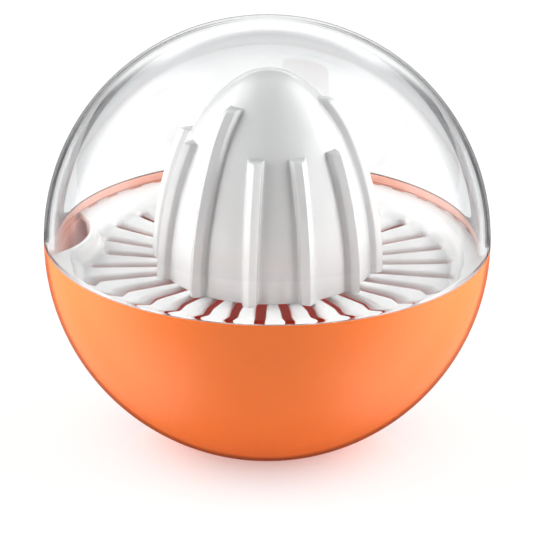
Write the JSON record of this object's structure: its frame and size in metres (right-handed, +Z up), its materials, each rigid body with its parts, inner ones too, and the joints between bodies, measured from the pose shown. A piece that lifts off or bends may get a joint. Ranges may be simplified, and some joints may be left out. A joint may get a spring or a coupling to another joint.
{
  "type": "citrus juicer",
  "caption": "Ball-shaped hand citrus juicer: a bowl, a slotted strainer dish with a pouring bay, a ribbed reamer cone and a clear domed lid that lift apart.",
  "frame": {"origin": "centre of the flat foot that the bowl stands on", "axes": "+Z up along the ball's axis, -X towards the pouring bay"},
  "size_m": [0.12, 0.12, 0.1158],
  "materials": {
    "bowl_plastic": "satin-gloss moulded orange plastic",
    "strainer_plastic": "glossy moulded white plastic",
    "reamer_plastic": "glossy moulded white plastic",
    "clear_plastic": "polished clear plastic"
  },
  "bodies": {
    "bowl": {"juice_bowl": "bowl_plastic"},
    "strainer": {"strainer": "strainer_plastic"},
    "reamer": {"reamer": "reamer_plastic"},
    "dome": {"dome_lid": "clear_plastic"}
  },
  "joints": [
    {"name": "strainer_lift", "type": "slide", "parent": "bowl", "child": "strainer", "axis": [0, 0, 1], "range_m": [0, 0.04]},
    {"name": "reamer_lift", "type": "slide", "parent": "strainer", "child": "reamer", "axis": [0, 0, 1], "range_m": [0, 0.03]},
    {"name": "dome_lift", "type": "slide", "parent": "reamer", "child": "dome", "axis": [0, 0, 1], "range_m": [0, 0.07]}
  ]
}
